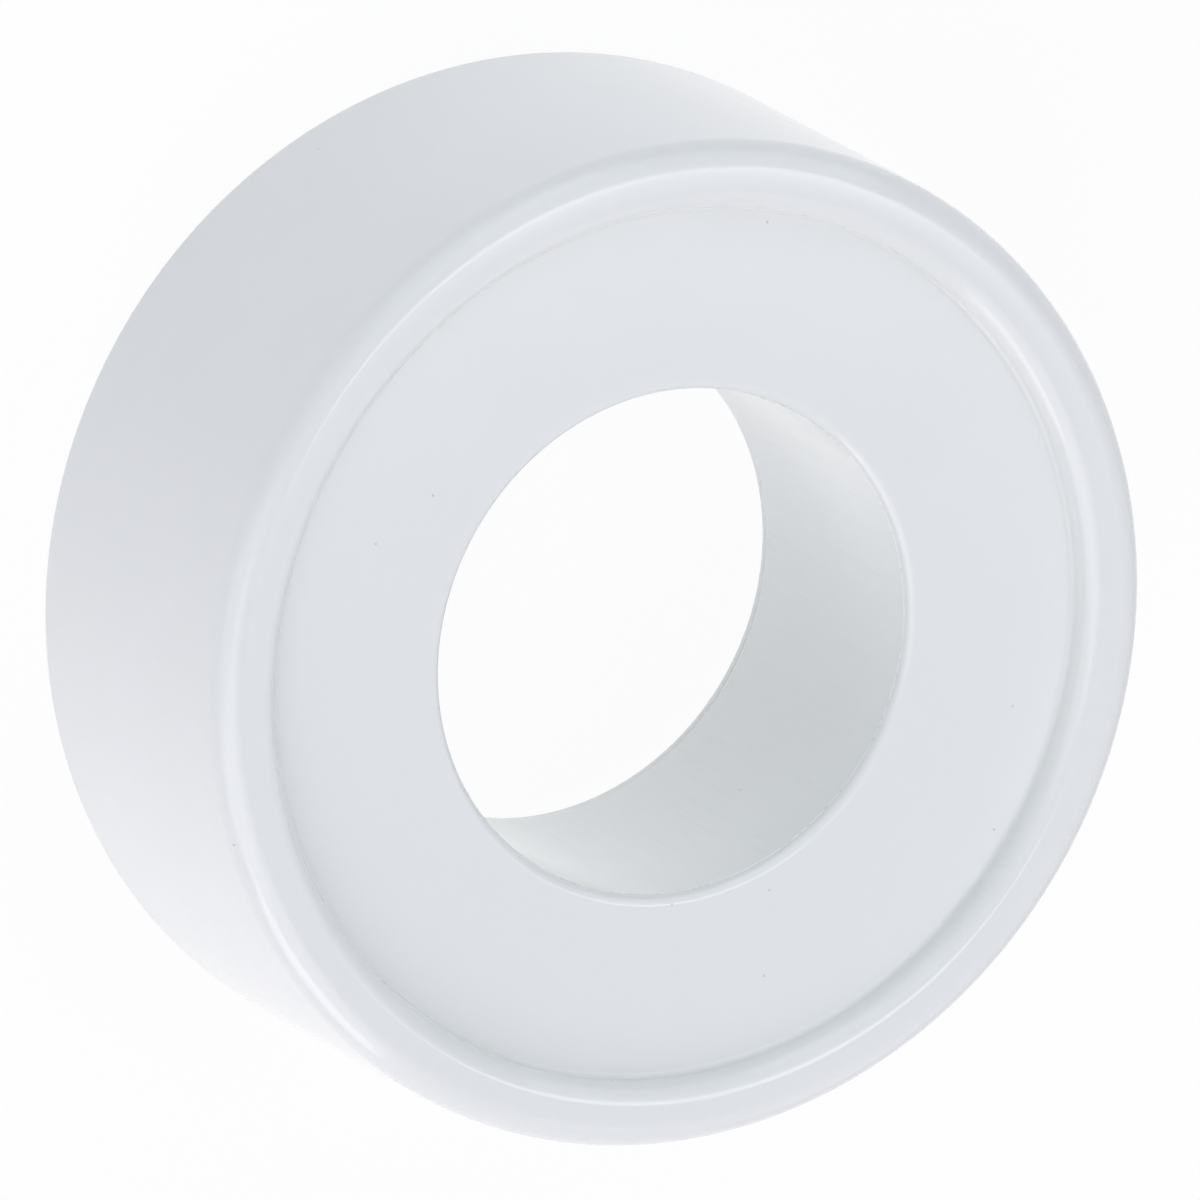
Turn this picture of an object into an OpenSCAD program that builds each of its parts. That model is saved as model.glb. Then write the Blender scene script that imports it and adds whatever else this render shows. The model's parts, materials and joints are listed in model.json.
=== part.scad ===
// Thread seal tape roll in a closed white moulded case.
// The roll lies on its back with its axis along +Z and its front face up. The origin is on the axis,
// in the plane of the cover's back edge. The case is sized from the tape that it holds.

/* [Tape] */
// Width of the tape
tape_w = 12; // [9:0.5:25]
// Length of the tape on a new roll, in metres
tape_length_m = 10; // [8:1:15]
// Thickness of the tape
tape_t = 0.075; // [0.06:0.005:0.1]
// Share by which the wound turns take more room than the bare tape
winding_slack = 0.05; // [0.02:0.01:0.12]
// Length of the loose end that stands off the last turn
tail_length = 5; // [3:0.25:5]
// Thickness of the loose end, which is folded over on itself
tail_t = 0.25; // [0.15:0.05:0.4]

/* [Cover] */
// Wall thickness of the cover's outer wall
wall_t = 1.2; // [0.9:0.1:1.6]
// Draft of the outer wall, in degrees, wider towards the open back
wall_draft = 1.35; // [0.5:0.05:2.5]
// Thickness of the front face
face_t = 1.4; // [1:0.1:2]
// Radius of the outer front corner
corner_r = 1.3; // [0.5:0.1:1.6]
// Width of the rim round the front face, to the step
rim_w = 3.2; // [2.6:0.1:4]
// Depth of the step from the rim down to the face
recess_depth = 1.3; // [0.8:0.1:2.2]
// Rounding of the rim's inner edge, at most what the step leaves over its fillet
rim_edge_r = 1.05; // [0.3:0.05:1.2]
// Fillet at the foot of the step
step_fillet_r = 0.25; // [0.1:0.05:0.4]
// Height of the bead inside the back edge that holds the spool
bead_h = 0.18; // [0.1:0.02:0.26]

/* [Bore] */
// Diameter of the bore through the middle
bore_d = 24.2; // [20:0.2:26]
// Rounding of the bore's front edge
bore_edge_r = 0.45; // [0.2:0.05:0.6]
// Wall thickness of the cover's tube round the bore
tube_t = 1; // [0.8:0.1:1.4]

/* [Spool] */
// Thickness of the spool's flange
flange_t = 1.2; // [0.9:0.1:1.8]
// Distance of the flange from the plane of the cover's back edge
flange_inset = 1.4; // [1.4:0.1:2.4]
// Wall thickness of the spool's hub
hub_t = 1; // [0.8:0.1:1.4]
// Length of the spool's collar, which ends the bore behind the cover's tube
collar_length = 0.6; // [0.5:0.1:3]
// Radius by which the collar is wider than the bore
collar_step = 0.22; // [0.06:0.02:0.3]

/* [Tape core] */
// Wall thickness of the ring that the tape is wound on
core_t = 0.9; // [0.6:0.02:1.4]

/* [Clearances] */
// Radial gap of the cover's tube in the hub
slip_gap = 0.1; // [0.08:0.01:0.2]
// Radial gap of the tape core on the hub
running_gap = 0.08; // [0.04:0.01:0.1]
// Gap between the flange and the bead that it snaps past
bead_gap = 0.15; // [0.1:0.01:0.25]
// Gap below the tape, to the flange
tape_gap_back = 0.2; // [0.15:0.05:0.5]
// Gap above the tape, to the cover's face
tape_gap_front = 0.8; // [0.5:0.1:1.5]
// Gap round the wound tape, to the cover's wall
tape_gap_side = 0.85; // [0.75:0.05:1.5]

/* [Hidden] */
$fn = 144;

// Straight pieces in each quarter of a rounding
arc_steps = 8;
// Small roundings and chamfers of the moulded edges
back_edge_r = 0.2;
tube_edge_r = 0.35;
flange_edge_r = 0.25;
collar_edge_r = 0.2;
lead_in = 0.3;
core_chamfer = 0.15;
// Half the height of the bead along the wall, and its middle above the back edge
bead_half = 0.3;
bead_z = 0.8;
// Gaps along the axis: cover's tube over the collar, and hub under the face
collar_gap = 0.1;
hub_gap = 0.4;

// Radii, from the bore outwards
bore_r = bore_d / 2;
tube_r = bore_r + tube_t;
collar_r = bore_r + collar_step;
hub_inner_r = tube_r + slip_gap;
hub_r = hub_inner_r + hub_t;
core_inner_r = hub_r + running_gap;
core_r = core_inner_r + core_t;
winding_area = 1000 * tape_length_m * tape_t * (1 + winding_slack);
tape_r = sqrt(core_r * core_r + winding_area / PI);
front_r = tape_r + tape_gap_side + wall_t;
step_r = front_r - rim_w;
rim_inner_r = min(rim_edge_r, recess_depth - step_fillet_r);

// Heights, from the back edge up
flange_top = flange_inset + flange_t;
collar_top = flange_inset + collar_length;
tube_end = collar_top + collar_gap;
tape_bottom = flange_top + tape_gap_back;
tape_top = tape_bottom + tape_w;
face_back = tape_top + tape_gap_front;
face_front = face_back + face_t;
case_w = face_front + recess_depth;
hub_top = face_back - hub_gap;

// Outer and inner radius of the drafted wall at a height
function wall_r(z) = front_r + (case_w - corner_r - z) * tan(wall_draft);
function wall_inner_r(z) = wall_r(z) - wall_t;
flange_r = wall_inner_r(bead_z) - bead_h - bead_gap;

// Points of a rounding about a centre, from one angle to another
function arc(centre, r, from, to) =
    [for (i = [0:arc_steps]) let (a = from + (to - from) * i / arc_steps) centre + r * [cos(a), sin(a)]];

echo(case_diameter = 2 * wall_r(0), case_width = case_w, tape_diameter = 2 * tape_r);

// Closed front, outer wall and central tube in one moulding, open at the back
module cover() {
    color("white")
        rotate_extrude()
            polygon(concat(
                arc([wall_r(0) - back_edge_r, back_edge_r], back_edge_r, -90, 0),
                arc([front_r - corner_r, case_w - corner_r], corner_r, 0, 90),
                arc([step_r + rim_inner_r, case_w - rim_inner_r], rim_inner_r, 90, 180),
                arc([step_r - step_fillet_r, face_front + step_fillet_r], step_fillet_r, 0, -90),
                arc([bore_r + bore_edge_r, face_front - bore_edge_r], bore_edge_r, 90, 180),
                arc([bore_r + tube_edge_r, tube_end + tube_edge_r], tube_edge_r, 180, 270),
                [
                    [tube_r - lead_in, tube_end],
                    [tube_r, tube_end + lead_in],
                    [tube_r, face_back],
                    [wall_inner_r(face_back), face_back],
                    [wall_inner_r(bead_z + bead_half), bead_z + bead_half],
                    [wall_inner_r(bead_z) - bead_h, bead_z],
                    [wall_inner_r(bead_z - bead_half), bead_z - bead_half],
                    [wall_inner_r(lead_in), lead_in],
                    [wall_inner_r(0) + lead_in, 0]
                ]
            ));
}

// Back flange with its collar, and the hub that the cover's tube slides into
module spool() {
    color("whitesmoke")
        rotate_extrude()
            polygon(concat(
                arc([flange_r - flange_edge_r, flange_inset + flange_edge_r], flange_edge_r, -90, 0),
                arc([flange_r - flange_edge_r, flange_top - flange_edge_r], flange_edge_r, 0, 90),
                [
                    [hub_r, flange_top],
                    [hub_r, hub_top],
                    [hub_inner_r + lead_in, hub_top],
                    [hub_inner_r, hub_top - lead_in],
                    [hub_inner_r, collar_top]
                ],
                arc([collar_r + collar_edge_r, collar_top - collar_edge_r], collar_edge_r, 90, 180),
                arc([collar_r + collar_edge_r, flange_inset + collar_edge_r], collar_edge_r, 180, 270)
            ));
}

// Plain ring that turns on the hub and carries the wound tape
module tape_core() {
    color("gainsboro")
        rotate_extrude()
            polygon([
                [core_inner_r + core_chamfer, tape_bottom],
                [core_r, tape_bottom],
                [core_r, tape_top],
                [core_inner_r + core_chamfer, tape_top],
                [core_inner_r, tape_top - core_chamfer],
                [core_inner_r, tape_bottom + core_chamfer]
            ]);
}

// Wound tape, with its folded loose end leaving the last turn on a tangent
module tape_roll() {
    color("snow")
        translate([0, 0, tape_bottom])
            difference() {
                union() {
                    cylinder(r = tape_r, h = tape_w);
                    translate([tape_r - tail_t, 0, 0]) cube([tail_t, tail_length, tape_w]);
                }
                translate([0, 0, -1]) cylinder(r = core_r, h = tape_w + 2);
            }
}

cover();
spool();
tape_core();
tape_roll();
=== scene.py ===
"""Thread seal tape roll: a closed white moulded case with the wound tape inside, dressed for rendering.

The roll lies on its back with its axis along +Z. Sizes that the solids show come from the frame,
and the other sizes, the colours and the stage are settings of the add-on.
"""

import json
import math

import bmesh
import bpy
from mathutils import Matrix, Vector, noise


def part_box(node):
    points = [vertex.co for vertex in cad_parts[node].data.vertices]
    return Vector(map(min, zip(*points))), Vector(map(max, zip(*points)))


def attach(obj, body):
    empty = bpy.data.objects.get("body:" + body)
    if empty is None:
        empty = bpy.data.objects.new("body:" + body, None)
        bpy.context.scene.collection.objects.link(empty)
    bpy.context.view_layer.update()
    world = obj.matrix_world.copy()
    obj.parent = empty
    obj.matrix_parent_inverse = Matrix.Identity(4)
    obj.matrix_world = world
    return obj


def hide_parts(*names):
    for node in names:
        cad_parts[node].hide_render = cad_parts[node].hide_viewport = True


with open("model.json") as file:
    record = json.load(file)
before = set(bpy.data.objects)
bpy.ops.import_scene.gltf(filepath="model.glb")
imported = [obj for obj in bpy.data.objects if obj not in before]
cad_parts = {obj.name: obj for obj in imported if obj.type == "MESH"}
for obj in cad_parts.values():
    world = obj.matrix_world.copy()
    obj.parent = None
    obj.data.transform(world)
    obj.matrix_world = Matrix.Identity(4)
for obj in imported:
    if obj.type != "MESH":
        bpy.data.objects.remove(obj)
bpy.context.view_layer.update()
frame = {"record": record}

bl_info = {
    "name": "Thread Seal Tape Roll",
    "version": (1, 0, 0),
    "blender": (4, 5, 0),
    "location": "3D View > Sidebar > Tape Roll",
    "description": "Builds a thread seal tape roll round its packed solids, with a stage to show it on",
    "category": "Add Mesh",
}

MM = 0.001
COVER_LOW, COVER_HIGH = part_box("cover")
SPOOL_LOW, SPOOL_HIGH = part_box("spool")
CORE_LOW, CORE_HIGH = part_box("tape_core")
TAPE_LOW, TAPE_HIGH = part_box("tape_roll")
BORE_RADIUS = next(m["dims"]["r_mm"] for m in frame["record"]["mounts"] if m["name"] == "peg_bore") * MM

# Steps round the axis, steps in each rounding, and the angle from which an edge is drawn sharp
TURN_STEPS = 240
ROUNDING_STEPS = 10
SHARP_ANGLE = math.radians(35)

# Width of the camera's film in millimetres, and half the width of the floor in metres
SENSOR_WIDTH = 36.0
FLOOR_HALF = 3.0

# Soft lamps: power in watts, colour, width in metres, and the way that each stands in, in degrees round the
# roll's axis from +X and in degrees above the floor
LAMP_DISTANCE = 0.9
LAMPS = {
    "key_lamp": (3.1, "#F3F4FF", 1.0, 70, 44),
    "edge_lamp": (0.9, "#F8FAFF", 0.28, 0, 66),
    "face_lamp": (0.2, "#F8FAFF", 0.5, 155, 72),
    "top_lamp": (1.35, "#ECF4FF", 0.7, 105, 25),
    "side_lamp": (2.3, "#F2F5FF", 1.0, 205, 37),
    "front_lamp": (3.2, "#FAF4FF", 1.0, 238, 44),
    "low_lamp": (1.4, "#FFF9FC", 0.46, 250, 15),
    "right_lamp": (1.4, "#FBF5FF", 0.9, 335, 30),
}


def linear(hex_code):
    """Turns an sRGB hex colour into linear red, green, blue and full alpha."""
    channels = [int(hex_code[i:i + 2], 16) / 255 for i in (1, 3, 5)]
    return [c / 12.92 if c <= 0.04045 else ((c + 0.055) / 1.055) ** 2.4 for c in channels] + [1.0]


def length(name, description, default):
    """A size in metres."""
    return bpy.props.FloatProperty(
        name=name, description=description, default=default, min=0.0, precision=5, unit="LENGTH")


def angle(name, description, degrees):
    """An angle, given in degrees."""
    return bpy.props.FloatProperty(
        name=name, description=description, default=math.radians(degrees), subtype="ANGLE")


def colour(name, description, hex_code):
    """A colour, given as sRGB hex."""
    return bpy.props.FloatVectorProperty(
        name=name, description=description, default=linear(hex_code),
        size=4, min=0.0, max=1.0, subtype="COLOR")


def share(name, description, default):
    """A number from 0 to 1."""
    return bpy.props.FloatProperty(
        name=name, description=description, default=default, min=0.0, max=1.0, subtype="FACTOR")


def strength(name, description, default):
    """The strength of a light."""
    return bpy.props.FloatProperty(name=name, description=description, default=default, min=0.0)


class CoverSettings(bpy.types.PropertyGroup):
    radius: length("Back radius", "Radius of the outer wall at its back edge", COVER_HIGH.x)
    width: length("Width", "Width of the case along its axis", COVER_HIGH.z)
    wall: length("Wall", "Thickness of the outer wall", 1.2 * MM)
    draft: angle("Draft", "Taper of the outer wall, narrower towards the front", 1.35)
    corner: length("Corner", "Rounding of the outer front corner", 1.3 * MM)
    back_edge: length("Back edge", "Rounding of the wall's back edge", 0.2 * MM)
    rim_width: length("Rim width", "Width of the rim, from the wall to the step", 3.2 * MM)
    rim_edge: length("Rim edge", "Rounding of the rim's inner edge", 1.05 * MM)
    recess: length("Recess", "Depth of the face below the rim", 1.3 * MM)
    step_fillet: length("Step fillet", "Fillet at the foot of the step", 0.25 * MM)
    face: length("Face", "Thickness of the front face", 1.4 * MM)
    bore_radius: length("Bore radius", "Radius of the bore through the middle", BORE_RADIUS)
    bore_edge: length("Bore edge", "Rounding of the bore's front edge", 0.45 * MM)
    witness: length(
        "Witness line", "Height of the fine ridge where the mould halves met in the bore", 0.04 * MM)
    tube_wall: length("Tube wall", "Wall thickness of the tube round the bore", 1.0 * MM)
    tube_end: length("Tube end", "Distance of the tube's back end from the back edge", 2.1 * MM)
    tube_edge: length("Tube edge", "Rounding of the tube's back end in the bore", 0.35 * MM)
    lead_in: length("Lead-in", "Chamfer that leads the tube and the spool in", 0.3 * MM)
    bead: length("Bead", "Height of the bead that the spool snaps past", 0.18 * MM)
    bead_place: length("Bead place", "Distance of the bead's middle from the back edge", 0.8 * MM)
    bead_half: length("Bead half", "Half the length of the bead along the wall", 0.3 * MM)
    plastic: colour("Plastic", "Main colour of the moulded plastic", "#EDF0ED")
    cloud: colour("Clouding", "Colour of the faint flow clouds in the plastic", "#E9EDE9")
    speck: colour("Specks", "Colour of the dust specks", "#9C9F9A")
    roughness: share("Roughness", "Roughness of the moulded skin", 0.15)


class SpoolSettings(bpy.types.PropertyGroup):
    flange_radius: length("Flange radius", "Radius of the back flange", SPOOL_HIGH.x)
    flange_inset: length("Flange inset", "Distance of the flange from the cover's back edge", SPOOL_LOW.z)
    flange: length("Flange", "Thickness of the flange", 1.2 * MM)
    flange_edge: length("Flange edge", "Rounding of the flange's edges", 0.25 * MM)
    hub_top: length("Hub top", "Height of the hub's front end", SPOOL_HIGH.z)
    hub_wall: length("Hub wall", "Wall thickness of the hub", 1.0 * MM)
    slip_gap: length("Slip gap", "Gap between the cover's tube and the hub", 0.1 * MM)
    collar: length("Collar", "Length of the collar that ends the bore", 0.6 * MM)
    collar_step: length("Collar step", "Radius by which the collar is wider than the bore", 0.22 * MM)
    collar_edge: length("Collar edge", "Rounding of the collar's edges", 0.2 * MM)
    plastic: colour("Plastic", "Main colour of the moulded plastic", "#EBEEEB")
    cloud: colour("Clouding", "Colour of the faint flow clouds in the plastic", "#E7EBE7")
    speck: colour("Specks", "Colour of the dust specks", "#9C9F9A")
    roughness: share("Roughness", "Roughness of the moulded skin", 0.22)


class TapeSettings(bpy.types.PropertyGroup):
    thickness: length("Tape thickness", "Thickness of the tape", 0.075 * MM)
    pitch: length("Turn pitch", "Radius that each turn adds, with the air between the turns", 0.07875 * MM)
    tail: length("Loose end", "Length of the loose end before its fold", 5.0 * MM)
    fold: length("Fold", "Outer radius of the fold in the loose end", 0.1 * MM)
    wander: length("Wander", "How far single turns stand back from the winding's sides", 0.12 * MM)
    core_chamfer: length("Core chamfer", "Chamfer inside the core's ends", 0.15 * MM)
    core_radius: length("Core bore", "Inner radius of the core", 14.28 * MM)
    core_edge: length("Core edge", "Rounding of the core's outer edges", 0.08 * MM)
    film: colour("Film", "Colour of the stretched tape film", "#F1F1EF")
    streak: colour("Streaks", "Colour of the streaks along the tape", "#E3E4E2")
    core: colour("Core", "Main colour of the core", "#DFE0DD")
    core_cloud: colour("Core clouding", "Colour of the faint flow clouds in the core", "#D8DAD6")


class StageSettings(bpy.types.PropertyGroup):
    turn: angle("Turn", "Turn of the front face to the right, as the camera sees it", 27.29)
    tilt: angle("Tilt", "Tilt of the front face upwards, as the camera sees it", -13.91)
    distance: length("Distance", "Distance of the camera from the rim's middle", 720.0 * MM)
    lens: bpy.props.FloatProperty(
        name="Lens", description="Focal length of the camera in millimetres", default=468.05, unit="CAMERA")
    aside: length("Aside", "Place of the rim's middle, right of the picture's middle", 4.128 * MM)
    below: length("Below", "Place of the rim's middle, below the picture's middle", 2.376 * MM)
    white: colour("White", "Colour of the floor and the surroundings, as the camera sees them", "#FFFFFF")
    glow: share(
        "Glow", "Share of full white that the floor gives off to light the roll, as a light table does", 0.6)
    glow_tint: colour("Glow tint", "Colour of the light that the floor gives off", "#F8F5FF")
    sky: colour("Sky", "Colour of the soft light from all round", "#F4F6FF")
    sky_strength: strength("Sky strength", "Strength of the soft light from all round", 0.13)
    lamp_share: strength("Lamps", "Share of their full power that the lamps give", 1.0)


class TapeRollSettings(bpy.types.PropertyGroup):
    cover: bpy.props.PointerProperty(name="Cover", description="Front moulding", type=CoverSettings)
    spool: bpy.props.PointerProperty(name="Spool", description="Back moulding", type=SpoolSettings)
    tape: bpy.props.PointerProperty(name="Tape", description="Wound tape and its core", type=TapeSettings)
    stage: bpy.props.PointerProperty(name="Stage", description="Camera, floor and light", type=StageSettings)


def add_node(tree, kind, inputs=None, output=None, **settings):
    """Adds a node, fills its inputs with values or links, and gives back the node or the named output."""
    node = tree.nodes.new(kind)
    for name, value in settings.items():
        setattr(node, name, value)
    for name, value in (inputs or {}).items():
        socket = next(s for s in node.inputs if s.identifier == name)
        if isinstance(value, bpy.types.NodeSocket):
            tree.links.new(value, socket)
        else:
            socket.default_value = value
    return next(s for s in node.outputs if s.identifier == output) if output else node


def empty_material(name):
    """A material with an empty node tree."""
    material = bpy.data.materials.new(name)
    material.use_nodes = True
    material.node_tree.nodes.clear()
    return material


def worn_bore(tree, place, skin, normal, settings, bore):
    """Adds fine rub marks along the bore and broken grime on its witness line to a skin and its normal."""
    radius, witness_height = bore
    rub_width, rub_length, rub_depth = 0.1 * MM, 9.0 * MM, 0.005 * MM
    grime_half, grime_size, grime_share = 0.07 * MM, 0.35 * MM, 0.4
    # Only the peaks of a pattern leave a mark, which fades in between these two heights
    rub_low, rub_high, grime_low, grime_high = 0.66, 0.74, 0.54, 0.66
    flat = add_node(tree, "ShaderNodeVectorMath", {
        "Vector": place, "Vector_001": (1, 1, 0)}, "Vector", operation="MULTIPLY")
    away = add_node(tree, "ShaderNodeVectorMath", {"Vector": flat}, "Value", operation="LENGTH")
    inside = add_node(tree, "ShaderNodeMath", {
        "Value": away, "Value_001": radius + grime_half}, "Value", operation="LESS_THAN")

    stretched = add_node(tree, "ShaderNodeVectorMath", {
        "Vector": place, "Vector_001": (1 / rub_width, 1 / rub_width, 1 / rub_length),
    }, "Vector", operation="MULTIPLY")
    streaks = add_node(tree, "ShaderNodeTexNoise", {"Vector": stretched, "Scale": 1.0, "Detail": 1.0}, "Fac")
    marks = add_node(tree, "ShaderNodeMapRange", {
        "Value": streaks, "From Min": rub_low, "From Max": rub_high}, "Result")
    rubbed = add_node(tree, "ShaderNodeBump", {
        "Height": marks, "Strength": inside, "Distance": rub_depth, "Normal": normal,
    }, "Normal", invert=True)

    height = add_node(tree, "ShaderNodeSeparateXYZ", {"Vector": place}, "Z")
    off_line = add_node(tree, "ShaderNodeMath", {
        "Value": height, "Value_001": witness_height}, "Value", operation="SUBTRACT")
    distance = add_node(tree, "ShaderNodeMath", {"Value": off_line}, "Value", operation="ABSOLUTE")
    near = add_node(tree, "ShaderNodeMapRange", {
        "Value": distance, "From Max": grime_half, "To Min": 1.0, "To Max": 0.0}, "Result")
    broken = add_node(tree, "ShaderNodeTexNoise", {
        "Vector": place, "Scale": 1 / grime_size, "Detail": 1.0}, "Fac")
    dots = add_node(tree, "ShaderNodeMapRange", {
        "Value": broken, "From Min": grime_low, "From Max": grime_high, "To Max": grime_share}, "Result")
    lined = add_node(tree, "ShaderNodeMath", {
        "Value": near, "Value_001": dots}, "Value", operation="MULTIPLY")
    grime = add_node(tree, "ShaderNodeMath", {
        "Value": lined, "Value_001": inside}, "Value", operation="MULTIPLY")
    grimy = add_node(tree, "ShaderNodeMix", {
        "Factor_Float": grime, "A_Color": skin, "B_Color": settings.speck,
    }, "Result_Color", data_type="RGBA")
    return grimy, rubbed


def moulded_polypropylene(name, settings, bore=None):
    """White polypropylene, injection moulded. A bore, as (radius, witness height), is worn by handling."""
    # The moulded skin is satin and a little waxy: light sinks in, so edges stay soft and corners greenish.
    # Faint flow clouds, slow sink waves, a fine grain and a few dust specks keep it from being even.
    cloud_size, wave_size, grain_size = 7.0 * MM, 5.0 * MM, 0.3 * MM
    wave_depth, grain_depth, sink_depth = 0.02 * MM, 0.006 * MM, 0.6 * MM
    speck_spacing, speck_radius, speck_share = 3.2 * MM, 0.09 * MM, 0.7
    gloss_spread = 0.03
    material = empty_material(name)
    tree = material.node_tree
    place = add_node(tree, "ShaderNodeTexCoord", output="Object")

    clouds = add_node(tree, "ShaderNodeTexNoise", {
        "Vector": place, "Scale": 1 / cloud_size, "Detail": 3.0}, "Fac")
    clouding = add_node(tree, "ShaderNodeMix", {
        "Factor_Float": clouds, "A_Color": settings.plastic, "B_Color": settings.cloud,
    }, "Result_Color", data_type="RGBA")
    nearest = add_node(tree, "ShaderNodeTexVoronoi", {
        "Vector": place, "Scale": 1 / speck_spacing}, "Distance")
    speck = add_node(tree, "ShaderNodeMapRange", {
        "Value": nearest, "From Max": speck_radius / speck_spacing, "To Min": speck_share, "To Max": 0.0,
    }, "Result")
    skin = add_node(tree, "ShaderNodeMix", {
        "Factor_Float": speck, "A_Color": clouding, "B_Color": settings.speck,
    }, "Result_Color", data_type="RGBA")
    gloss = add_node(tree, "ShaderNodeMapRange", {
        "Value": clouds, "From Min": 0.3, "From Max": 0.7,
        "To Min": settings.roughness - gloss_spread, "To Max": settings.roughness + gloss_spread,
    }, "Result")

    waves = add_node(tree, "ShaderNodeTexNoise", {
        "Vector": place, "Scale": 1 / wave_size, "Detail": 1.0}, "Fac")
    grain = add_node(tree, "ShaderNodeTexNoise", {
        "Vector": place, "Scale": 1 / grain_size, "Detail": 2.0}, "Fac")
    wavy = add_node(tree, "ShaderNodeBump", {
        "Height": waves, "Strength": 1.0, "Distance": wave_depth}, "Normal")
    normal = add_node(tree, "ShaderNodeBump", {
        "Height": grain, "Strength": 0.3, "Distance": grain_depth, "Normal": wavy}, "Normal")
    if bore:
        skin, normal = worn_bore(tree, place, skin, normal, settings, bore)
    shader = add_node(tree, "ShaderNodeBsdfPrincipled", {
        "Base Color": skin, "Roughness": gloss, "IOR": 1.49, "Normal": normal,
        "Subsurface Weight": 0.2, "Subsurface Radius": (0.8, 1.0, 0.75), "Subsurface Scale": sink_depth,
    }, "BSDF")
    add_node(tree, "ShaderNodeOutputMaterial", {"Surface": shader})
    return material


def moulded_polystyrene(name, settings):
    """White polystyrene, injection moulded, for the core."""
    # A dry matte skin with faint flow clouds and a fine grain
    cloud_size, grain_size, grain_depth = 5.0 * MM, 0.2 * MM, 0.01 * MM
    material = empty_material(name)
    tree = material.node_tree
    place = add_node(tree, "ShaderNodeTexCoord", output="Object")
    clouds = add_node(tree, "ShaderNodeTexNoise", {
        "Vector": place, "Scale": 1 / cloud_size, "Detail": 3.0}, "Fac")
    skin = add_node(tree, "ShaderNodeMix", {
        "Factor_Float": clouds, "A_Color": settings.core, "B_Color": settings.core_cloud,
    }, "Result_Color", data_type="RGBA")
    grain = add_node(tree, "ShaderNodeTexNoise", {
        "Vector": place, "Scale": 1 / grain_size, "Detail": 2.0}, "Fac")
    gloss = add_node(tree, "ShaderNodeMapRange", {"Value": grain, "To Min": 0.45, "To Max": 0.55}, "Result")
    grainy = add_node(tree, "ShaderNodeBump", {
        "Height": grain, "Strength": 0.5, "Distance": grain_depth}, "Normal")
    shader = add_node(tree, "ShaderNodeBsdfPrincipled", {
        "Base Color": skin, "Roughness": gloss, "IOR": 1.59, "Normal": grainy}, "BSDF")
    add_node(tree, "ShaderNodeOutputMaterial", {"Surface": shader})
    return material


def stretched_ptfe(name, settings):
    """Unsintered PTFE film, stretched into tape, for the winding."""
    # A soft matte film. Stretching leaves fine streaks along the tape, which run round the winding at one
    # height, and a silky sheen at low angles.
    streak_width, streak_length, streak_depth = 0.25 * MM, 40.0 * MM, 0.02 * MM
    flock_size, flock_depth = 0.4 * MM, 0.01 * MM
    material = empty_material(name)
    tree = material.node_tree
    place = add_node(tree, "ShaderNodeTexCoord", output="Object")
    drawn = add_node(tree, "ShaderNodeVectorMath", {
        "Vector": place, "Vector_001": (1 / streak_length, 1 / streak_length, 1 / streak_width),
    }, "Vector", operation="MULTIPLY")
    streaks = add_node(tree, "ShaderNodeTexNoise", {"Vector": drawn, "Scale": 1.0, "Detail": 3.0}, "Fac")
    film = add_node(tree, "ShaderNodeMix", {
        "Factor_Float": streaks, "A_Color": settings.film, "B_Color": settings.streak,
    }, "Result_Color", data_type="RGBA")
    flock = add_node(tree, "ShaderNodeTexNoise", {
        "Vector": place, "Scale": 1 / flock_size, "Detail": 2.0}, "Fac")
    gloss = add_node(tree, "ShaderNodeMapRange", {"Value": flock, "To Min": 0.55, "To Max": 0.7}, "Result")
    drawn_bump = add_node(tree, "ShaderNodeBump", {
        "Height": streaks, "Strength": 0.4, "Distance": streak_depth}, "Normal")
    soft_bump = add_node(tree, "ShaderNodeBump", {
        "Height": flock, "Strength": 0.3, "Distance": flock_depth, "Normal": drawn_bump}, "Normal")
    shader = add_node(tree, "ShaderNodeBsdfPrincipled", {
        "Base Color": film, "Roughness": gloss, "IOR": 1.35, "Normal": soft_bump,
        "Sheen Weight": 0.15, "Sheen Roughness": 0.4}, "BSDF")
    add_node(tree, "ShaderNodeOutputMaterial", {"Surface": shader})
    return material


def seen_directly(tree):
    """1 for rays from the camera, off a glossy surface or through glass, and 0 for rays that light things."""
    ray = add_node(tree, "ShaderNodeLightPath")
    seen = ray.outputs["Is Camera Ray"]
    for kind in ("Is Glossy Ray", "Is Transmission Ray"):
        seen = add_node(tree, "ShaderNodeMath", {"Value": seen, "Value_001": ray.outputs[kind]}, "Value",
                        operation="MAXIMUM")
    return seen


def backlit_paper(name, settings):
    """Matte white paper on a light table, which shows as white to the camera and keeps part of the shadow."""
    seen_glow = 0.92
    material = empty_material(name)
    tree = material.node_tree
    paper = add_node(tree, "ShaderNodeBsdfDiffuse", {"Color": settings.white}, "BSDF")
    seen = seen_directly(tree)
    tint = add_node(tree, "ShaderNodeMix", {
        "Factor_Float": seen, "A_Color": settings.glow_tint, "B_Color": settings.white,
    }, "Result_Color", data_type="RGBA")
    glow = add_node(tree, "ShaderNodeEmission", {"Color": tint, "Strength": 1.0}, "Emission")
    glowing = add_node(tree, "ShaderNodeMath", {
        "Value": seen, "Value_001": seen_glow - settings.glow, "Value_002": settings.glow,
    }, "Value", operation="MULTIPLY_ADD")
    both = add_node(tree, "ShaderNodeMixShader", {
        "Fac": glowing, "Shader": paper, "Shader_001": glow}, "Shader")
    add_node(tree, "ShaderNodeOutputMaterial", {"Surface": both})
    return material


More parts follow.
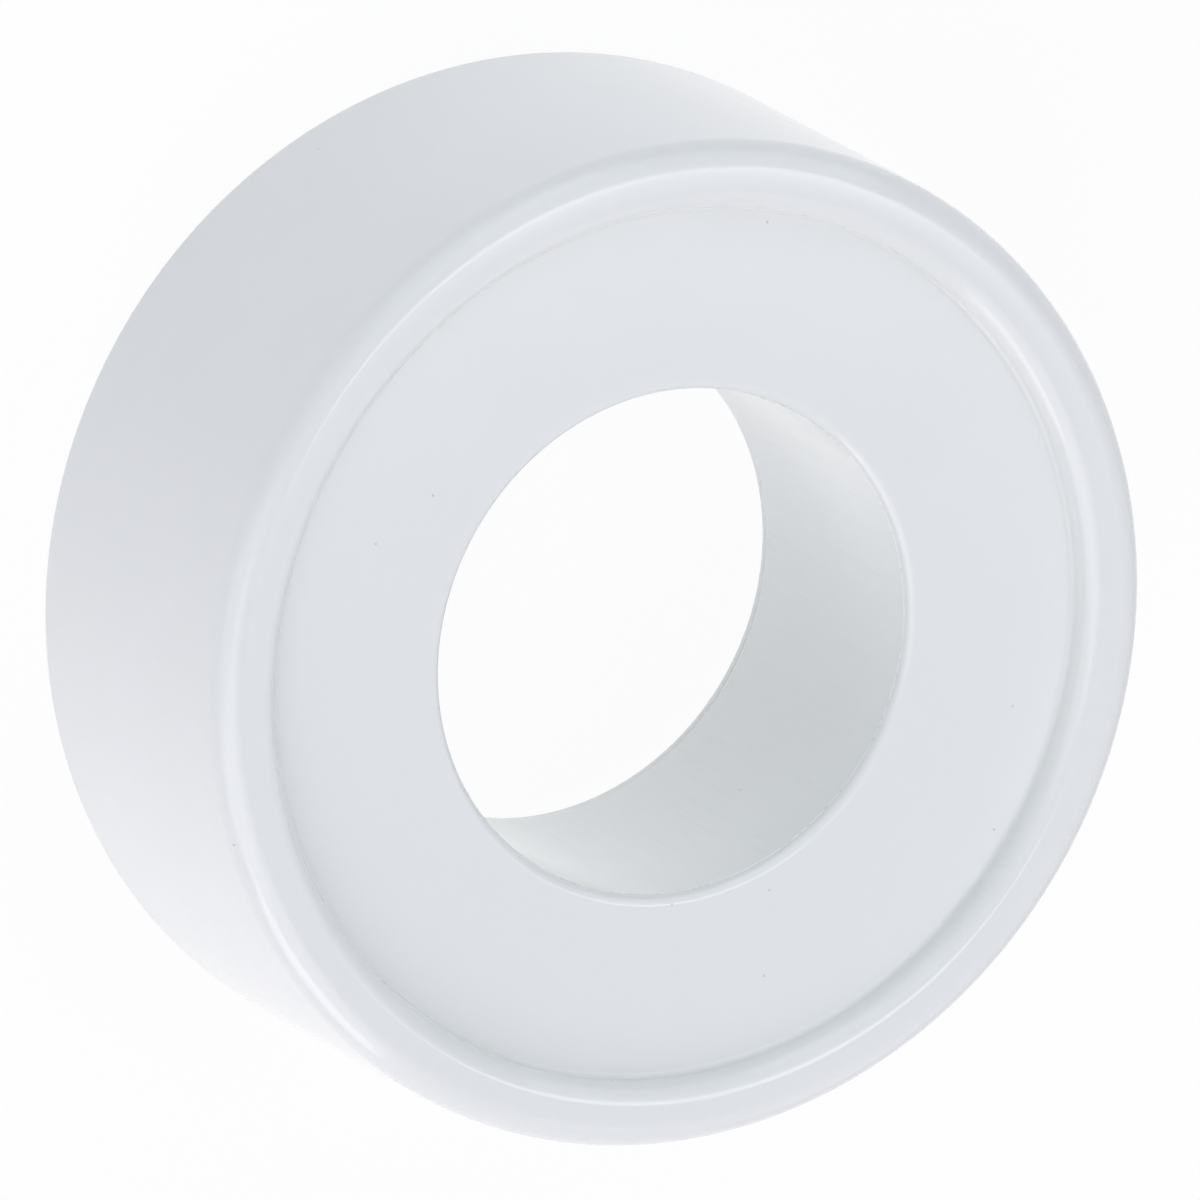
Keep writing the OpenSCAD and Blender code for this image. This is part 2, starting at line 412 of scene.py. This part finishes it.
def new_piece(name, bm, material):
    """Makes an object of a finished bmesh, smooth but for its sharp edges."""
    mesh = bpy.data.meshes.new(name)
    for face in bm.faces:
        face.smooth = True
    bm.to_mesh(mesh)
    bm.free()
    mesh.set_sharp_from_angle(angle=SHARP_ANGLE)
    mesh.materials.append(material)
    piece = bpy.data.objects.new(name, mesh)
    bpy.context.scene.collection.objects.link(piece)
    return piece


def turned(name, outline, material):
    """Turns a closed outline of (radius, height, rounding) corners round the axis."""
    bm = bmesh.new()
    corners = [bm.verts.new((radius, 0.0, height)) for radius, height, rounding in outline]
    bm.faces.new(corners)
    for i, corner in enumerate(corners):
        rounding = outline[i][2]
        if rounding:
            before = Vector(outline[i - 1][:2]) - Vector(outline[i][:2])
            after = Vector(outline[(i + 1) % len(outline)][:2]) - Vector(outline[i][:2])
            bmesh.ops.bevel(
                bm, geom=[corner], affect="VERTICES", offset=rounding / math.tan(before.angle(after) / 2),
                offset_type="OFFSET", segments=ROUNDING_STEPS, profile=0.5, material=-1, clamp_overlap=False)
    bmesh.ops.delete(bm, geom=bm.faces[:], context="FACES_ONLY")
    bmesh.ops.spin(bm, geom=bm.verts[:] + bm.edges[:], cent=(0, 0, 0), axis=(0, 0, 1), angle=math.tau,
                   steps=TURN_STEPS, use_merge=True)
    bmesh.ops.remove_doubles(bm, verts=bm.verts[:], dist=0.0001 * MM)
    bmesh.ops.recalc_face_normals(bm, faces=bm.faces[:])
    piece = new_piece(name, bm, material)
    # Flat stretches stay flat and only the roundings bend the light
    flats = piece.modifiers.new("Flat stretches", "WEIGHTED_NORMAL")
    flats.keep_sharp = True
    return piece


def cover_outline(s):
    """Outline of the cover, from its back edge over the front to the tube and back along the inside."""
    def wall(height):
        return s.radius - height * math.tan(s.draft)

    front = wall(s.width - s.corner)
    step = front - s.rim_width
    face_front = s.width - s.recess
    face_back = face_front - s.face
    tube = s.bore_radius + s.tube_wall
    witness_height = face_front - s.bore_edge - s.witness
    return [
        (wall(0), 0, s.back_edge),
        (wall(s.width), s.width, s.corner),
        (step, s.width, s.rim_edge),
        (step, face_front, s.step_fillet),
        (s.bore_radius, face_front, s.bore_edge),
        (s.bore_radius, witness_height + s.witness, 0),
        (s.bore_radius - s.witness, witness_height, 0),
        (s.bore_radius, witness_height - s.witness, 0),
        (s.bore_radius, s.tube_end, s.tube_edge),
        (tube - s.lead_in, s.tube_end, 0),
        (tube, s.tube_end + s.lead_in, 0),
        (tube, face_back, s.lead_in),
        (wall(face_back) - s.wall, face_back, s.lead_in),
        (wall(s.bead_place + s.bead_half) - s.wall, s.bead_place + s.bead_half, 0),
        (wall(s.bead_place) - s.wall - s.bead, s.bead_place, 0),
        (wall(s.bead_place - s.bead_half) - s.wall, s.bead_place - s.bead_half, 0),
        (wall(s.lead_in) - s.wall, s.lead_in, 0),
        (wall(0) - s.wall + s.lead_in, 0, 0),
    ]


def spool_outline(s, cover):
    """Outline of the spool: flange, hub and the collar that ends the bore."""
    flange_front = s.flange_inset + s.flange
    collar_front = s.flange_inset + s.collar
    collar = cover.bore_radius + s.collar_step
    hub_inside = cover.bore_radius + cover.tube_wall + s.slip_gap
    hub = hub_inside + s.hub_wall
    return [
        (s.flange_radius, s.flange_inset, s.flange_edge),
        (s.flange_radius, flange_front, s.flange_edge),
        (hub, flange_front, 0),
        (hub, s.hub_top, 0),
        (hub_inside + cover.lead_in, s.hub_top, 0),
        (hub_inside, s.hub_top - cover.lead_in, 0),
        (hub_inside, collar_front, 0),
        (collar, collar_front, s.collar_edge),
        (collar, s.flange_inset, s.collar_edge),
    ]


def core_outline(s):
    """Outline of the ring that the tape is wound on."""
    return [
        (s.core_radius + s.core_chamfer, CORE_LOW.z, 0),
        (CORE_HIGH.x, CORE_LOW.z, s.core_edge),
        (CORE_HIGH.x, CORE_HIGH.z, s.core_edge),
        (s.core_radius + s.core_chamfer, CORE_HIGH.z, 0),
        (s.core_radius, CORE_HIGH.z - s.core_chamfer, 0),
        (s.core_radius, CORE_LOW.z + s.core_chamfer, 0),
    ]


def tape_path(s):
    """Points along the tape's outer side, as (x, y, turn): the winding, then the loose end with its fold."""
    steps_per_turn, fold_steps, fold_room = 96, 6, 1.06
    inner, outer = CORE_HIGH.x + s.pitch, TAPE_HIGH.x
    steps = round((outer - inner) / s.pitch * steps_per_turn)
    path = []
    for step in range(-steps, 1):
        turn = step / steps_per_turn
        radius = outer + turn * s.pitch
        path.append((radius * math.cos(turn * math.tau), radius * math.sin(turn * math.tau), turn))
    path += [(outer, s.tail * part / 4, 0) for part in (1, 2, 3)]
    for step in range(fold_steps + 1):
        bend = math.pi * step / fold_steps
        path.append((outer - s.fold * (1 - math.cos(bend)), s.tail - s.fold + s.fold * math.sin(bend), 0))
    # The folded part ends where the winding leaves no more room for it
    fold_back = math.sqrt(2 * outer * 2 * s.fold) * fold_room
    return path + [(outer - 2 * s.fold, (s.tail + fold_back) / 2, 0), (outer - 2 * s.fold, fold_back, 0)]


class TAPE_ROLL_OT_stage(bpy.types.Operator):
    """Sets up the camera, the white floor and the soft light"""
    bl_idname = "tape_roll.stage"
    bl_label = "Stage"

    def execute(self, context):
        s = context.scene.tape_roll.stage
        context.scene.view_settings.view_transform = "Standard"
        level = math.cos(s.tilt)
        axis = Vector((math.sin(s.turn) * level, math.sin(s.tilt), math.cos(s.turn) * level))
        across = Vector((0, 1, 0)).cross(axis).normalized()
        # The columns are the picture's right, its up and the way to the viewer, in the roll's own frame
        view = Matrix((across, axis.cross(across), axis))
        rim_middle = Vector((0, 0, COVER_HIGH.z))
        camera = bpy.data.objects.new("camera", bpy.data.cameras.new("camera"))
        camera.data.lens = s.lens
        camera.data.sensor_width = SENSOR_WIDTH
        eye = rim_middle - view @ Vector((s.aside, -s.below, -s.distance))
        camera.matrix_world = Matrix.Translation(eye) @ view.to_4x4()
        context.scene.collection.objects.link(camera)
        context.scene.camera = camera

        for name, (power, tint, width, azimuth, elevation) in LAMPS.items():
            lamp = bpy.data.objects.new(name, bpy.data.lights.new(name, "AREA"))
            lamp.data.energy = power * s.lamp_share
            lamp.data.color = linear(tint)[:3]
            lamp.data.size = width
            sideways = math.cos(math.radians(elevation))
            towards = Vector((
                sideways * math.cos(math.radians(azimuth)),
                sideways * math.sin(math.radians(azimuth)),
                math.sin(math.radians(elevation)),
            ))
            turn = towards.to_track_quat("Z", "Y").to_matrix().to_4x4()
            lamp.matrix_world = Matrix.Translation(rim_middle + towards * LAMP_DISTANCE) @ turn
            lamp.visible_camera = False
            context.scene.collection.objects.link(lamp)

        bm = bmesh.new()
        bmesh.ops.create_grid(bm, x_segments=1, y_segments=1, size=FLOOR_HALF)
        floor = new_piece("floor", bm, backlit_paper("Paper, matte white", s))

        world = bpy.data.worlds.new("white surroundings")
        world.use_nodes = True
        world.node_tree.nodes.clear()
        tree = world.node_tree
        soft = add_node(tree, "ShaderNodeBackground", {
            "Color": s.sky, "Strength": s.sky_strength}, "Background")
        white = add_node(tree, "ShaderNodeBackground", {"Color": s.white, "Strength": 1.0}, "Background")
        both = add_node(tree, "ShaderNodeMixShader", {
            "Fac": seen_directly(tree), "Shader": soft, "Shader_001": white}, "Shader")
        add_node(tree, "ShaderNodeOutputWorld", {"Surface": both})
        context.scene.world = world
        return {"FINISHED"}


class TAPE_ROLL_OT_cover(bpy.types.Operator):
    """Turns the cover: outer wall, rim, recessed face and the tube round the bore"""
    bl_idname = "tape_roll.cover"
    bl_label = "Cover"

    def execute(self, context):
        s = context.scene.tape_roll.cover
        witness_height = s.width - s.recess - s.bore_edge - s.witness
        plastic = moulded_polypropylene("Polypropylene, moulded white", s, (s.bore_radius, witness_height))
        cover = turned("case_cover", cover_outline(s), plastic)
        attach(cover, "cover")
        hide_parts("cover")
        return {"FINISHED"}


class TAPE_ROLL_OT_spool(bpy.types.Operator):
    """Turns the spool: back flange, collar and hub"""
    bl_idname = "tape_roll.spool"
    bl_label = "Spool"

    def execute(self, context):
        settings = context.scene.tape_roll
        plastic = moulded_polypropylene("Polypropylene, moulded off-white", settings.spool)
        spool = turned("case_spool", spool_outline(settings.spool, settings.cover), plastic)
        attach(spool, "spool")
        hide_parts("spool")
        return {"FINISHED"}


class TAPE_ROLL_OT_core(bpy.types.Operator):
    """Turns the ring that the tape is wound on"""
    bl_idname = "tape_roll.core"
    bl_label = "Tape core"

    def execute(self, context):
        s = context.scene.tape_roll.tape
        core = turned("winding_core", core_outline(s), moulded_polystyrene("Polystyrene, moulded matte", s))
        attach(core, "reel")
        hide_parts("tape_core")
        return {"FINISHED"}


class TAPE_ROLL_OT_tape(bpy.types.Operator):
    """Winds the tape on its core, turn by turn, and folds its loose end"""
    bl_idname = "tape_roll.tape"
    bl_label = "Tape"

    def execute(self, context):
        s = context.scene.tape_roll.tape
        path = tape_path(s)
        drift_per_turn = 0.9
        bm = bmesh.new()
        bmesh.ops.create_grid(bm, x_segments=len(path) - 1, y_segments=1, size=0.5)
        middle = (TAPE_LOW.z + TAPE_HIGH.z) / 2
        half = (TAPE_HIGH.z - TAPE_LOW.z - s.wander) / 2
        for vert in bm.verts:
            x, y, turn = path[round((vert.co.x + 0.5) * (len(path) - 1))]
            drift = noise.noise(Vector((turn * drift_per_turn, 0.0, 0.0))) * s.wander / 2
            vert.co = (x, y, middle + drift + math.copysign(half, vert.co.y))
        bmesh.ops.recalc_face_normals(bm, faces=bm.faces[:])
        bmesh.ops.solidify(bm, geom=bm.faces[:], thickness=s.thickness)
        bmesh.ops.recalc_face_normals(bm, faces=bm.faces[:])
        tape = new_piece("seal_tape", bm, stretched_ptfe("PTFE film, stretched", s))
        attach(tape, "reel")
        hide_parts("tape_roll")
        return {"FINISHED"}


class TAPE_ROLL_PT_sidebar(bpy.types.Panel):
    """Lists the roll's pieces with their settings"""
    bl_idname = "TAPE_ROLL_PT_sidebar"
    bl_label = "Thread Seal Tape Roll"
    bl_space_type = "VIEW_3D"
    bl_region_type = "UI"
    bl_category = "Tape Roll"

    def draw(self, context):
        settings = context.scene.tape_roll
        for operator in OPERATORS:
            self.layout.operator(operator.bl_idname)
        for name in ("cover", "spool", "tape", "stage"):
            group = getattr(settings, name)
            box = self.layout.box()
            box.label(text=name.capitalize())
            for key in type(group).__annotations__:
                box.prop(group, key)


OPERATORS = (
    TAPE_ROLL_OT_stage,
    TAPE_ROLL_OT_cover,
    TAPE_ROLL_OT_spool,
    TAPE_ROLL_OT_core,
    TAPE_ROLL_OT_tape,
)
CLASSES = (
    CoverSettings,
    SpoolSettings,
    TapeSettings,
    StageSettings,
    TapeRollSettings,
    *OPERATORS,
    TAPE_ROLL_PT_sidebar,
)


def register():
    for cls in CLASSES:
        bpy.utils.register_class(cls)
    bpy.types.Scene.tape_roll = bpy.props.PointerProperty(type=TapeRollSettings)


def unregister():
    del bpy.types.Scene.tape_roll
    for cls in reversed(CLASSES):
        bpy.utils.unregister_class(cls)


def main():
    register()
    bpy.ops.tape_roll.stage()
    bpy.ops.tape_roll.cover()
    bpy.ops.tape_roll.spool()
    bpy.ops.tape_roll.core()
    bpy.ops.tape_roll.tape()


if __name__ == "__main__":
    main()
